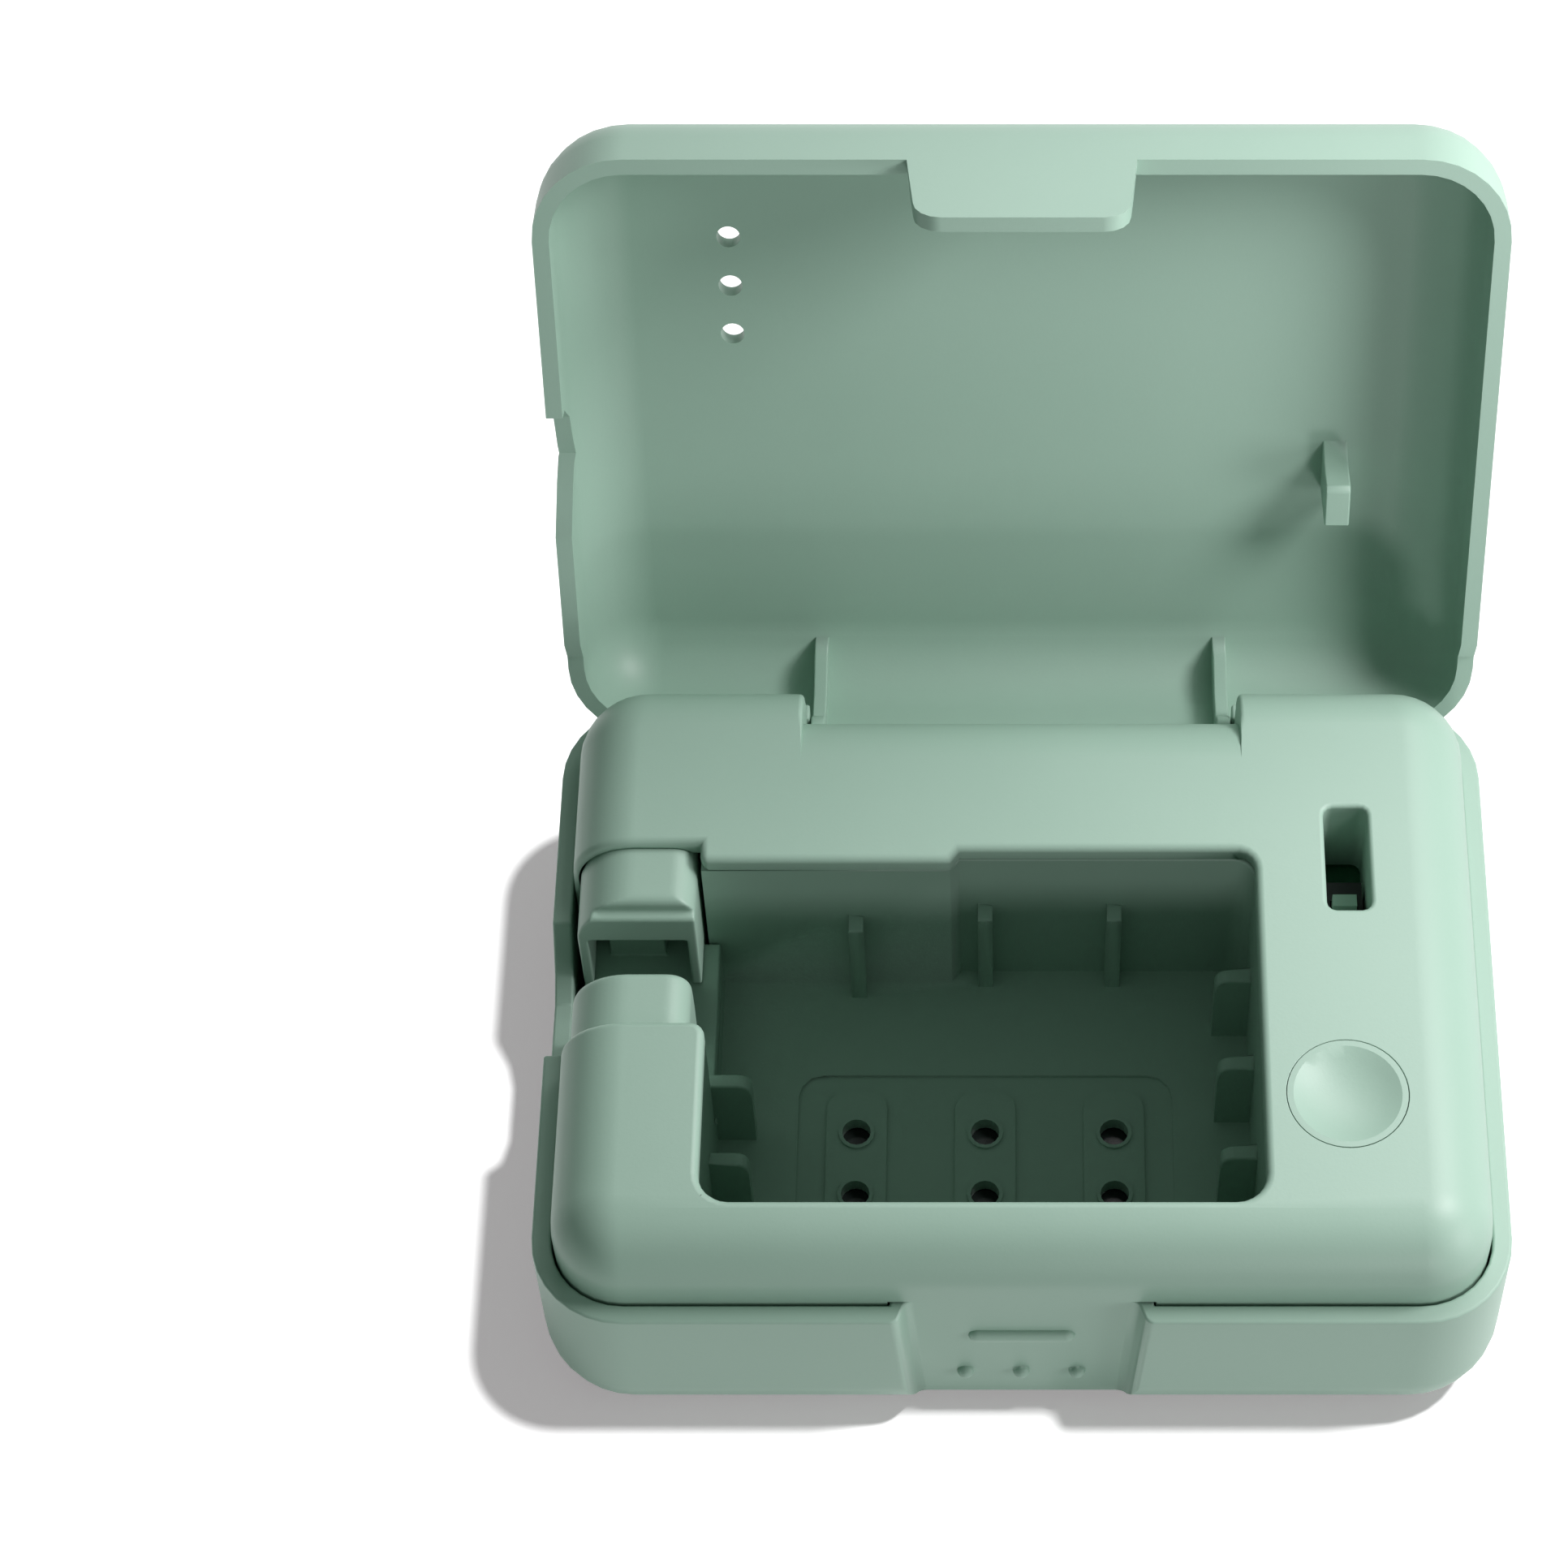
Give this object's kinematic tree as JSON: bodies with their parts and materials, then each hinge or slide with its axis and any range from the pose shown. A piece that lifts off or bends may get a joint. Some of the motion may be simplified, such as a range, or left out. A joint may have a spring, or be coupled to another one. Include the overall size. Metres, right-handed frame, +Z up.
{
  "type": "toothbrush sterilizer",
  "caption": "Pocket toothbrush sterilizer case with a hinged lid, a UV chamber behind a notch for the handle, sprung gripping jaws and a round push button.",
  "frame": {"origin": "centre of the flat underside of the lower shell, on the plane that the case rests on", "axes": "+Z up, -Y towards the front with the latch recess, +Y towards the hinge, +X to the right with the button; the notch for the handle is on the left"},
  "size_m": [0.06, 0.0652, 0.0548],
  "materials": {
    "mint_plastic": "fine spark-eroded texture",
    "black_plastic": "moulded",
    "white_plastic": "moulded",
    "clear_quartz": "clear",
    "circuit_board": "solder mask",
    "steel": "plain",
    "cell_wrap": "foil pouch",
    "foam": "foam pad",
    "red_lead": "insulated wire",
    "black_lead": "insulated wire",
    "rubber": "soft"
  },
  "bodies": {
    "case": {"base_shell": "mint_plastic", "deck_cover": "mint_plastic", "chamber_tray": "mint_plastic", "neck_saddle": "mint_plastic", "battery_cell": "cell_wrap", "battery_foam": "foam", "battery_lead_red": "red_lead", "battery_lead_black": "black_lead", "main_board": "circuit_board", "board_screw_front": "steel", "board_screw_back": "steel", "power_switch": "black_plastic", "lid_switch": "black_plastic", "usb_c_socket": "steel", "uv_board": "circuit_board", "uv_window": "clear_quartz", "uv_cable": "white_plastic", "uv_lamp_1": "white_plastic", "uv_lamp_2": "white_plastic", "uv_lamp_3": "white_plastic", "uv_lamp_4": "white_plastic", "uv_lamp_5": "white_plastic", "uv_lamp_6": "white_plastic", "case_screw_1": "steel", "case_screw_2": "steel", "case_screw_3": "steel", "case_screw_4": "steel", "screw_plug_1": "rubber", "screw_plug_2": "rubber", "screw_plug_3": "rubber", "screw_plug_4": "rubber"},
    "lid": {"lid_shell": "mint_plastic", "hinge_pin_left": "steel", "hinge_pin_right": "steel"},
    "button": {"button_cap": "mint_plastic", "switch_plunger": "black_plastic"},
    "lid_sensor": {"lid_switch_plunger": "mint_plastic"},
    "rear_jaw": {"neck_jaw_rear": "mint_plastic"},
    "front_jaw": {"neck_jaw_front": "mint_plastic"}
  },
  "joints": [
    {"name": "lid_hinge", "type": "hinge", "parent": "case", "child": "lid", "pos_m": [0, 0.02064, 0.01229], "axis": [1, 0, 0], "range_deg": [0, 108.3]},
    {"name": "button_press", "type": "slide", "parent": "case", "child": "button", "axis": [0, 0, -1], "range_m": [0, 0.00035], "stiffness_N_per_m": 800, "springref_m": -0.0006},
    {"name": "lid_sensor_press", "type": "slide", "parent": "case", "child": "lid_sensor", "axis": [0, 0, -1], "range_m": [0, 0.0004], "stiffness_N_per_m": 200, "springref_m": -0.0005},
    {"name": "rear_jaw_slide", "type": "slide", "parent": "case", "child": "rear_jaw", "axis": [0, 1, 0], "range_m": [0, 0.0014], "stiffness_N_per_m": 500, "springref_m": -0.001},
    {"name": "front_jaw_slide", "type": "slide", "parent": "case", "child": "front_jaw", "axis": [0, -1, 0], "range_m": [0, 0.0014], "stiffness_N_per_m": 500, "springref_m": -0.001}
  ]
}
